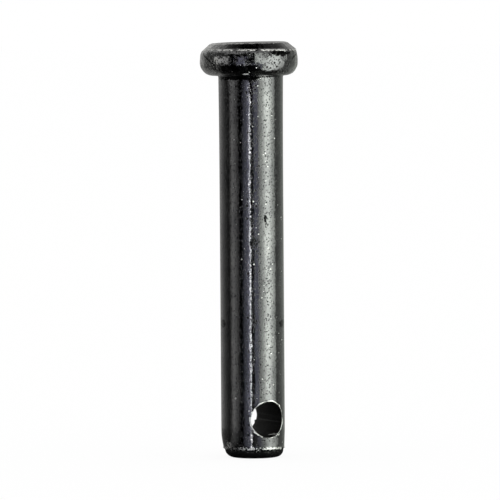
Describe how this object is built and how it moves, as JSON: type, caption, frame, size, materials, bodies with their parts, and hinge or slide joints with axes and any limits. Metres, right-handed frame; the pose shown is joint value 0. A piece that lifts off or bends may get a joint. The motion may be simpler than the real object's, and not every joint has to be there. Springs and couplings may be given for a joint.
{
  "type": "clevis pin",
  "caption": "Headed steel pin with a barrel-shaped head, a plain round shank, a blunt rounded point and a cross hole for a split pin near the point.",
  "frame": {"origin": "centre of the flat end at the point, on the shank's axis; the pin stands on that end", "axes": "+Z along the shank from the point to the head, +Y along the cross hole; cold heading leaves the head off centre towards -X"},
  "size_m": [0.0098, 0.0098, 0.0415],
  "materials": {
    "black_steel": "glossy black oxide over cold-formed steel"
  },
  "bodies": {
    "root": {"clevis_pin": "black_steel"}
  },
  "joints": []
}
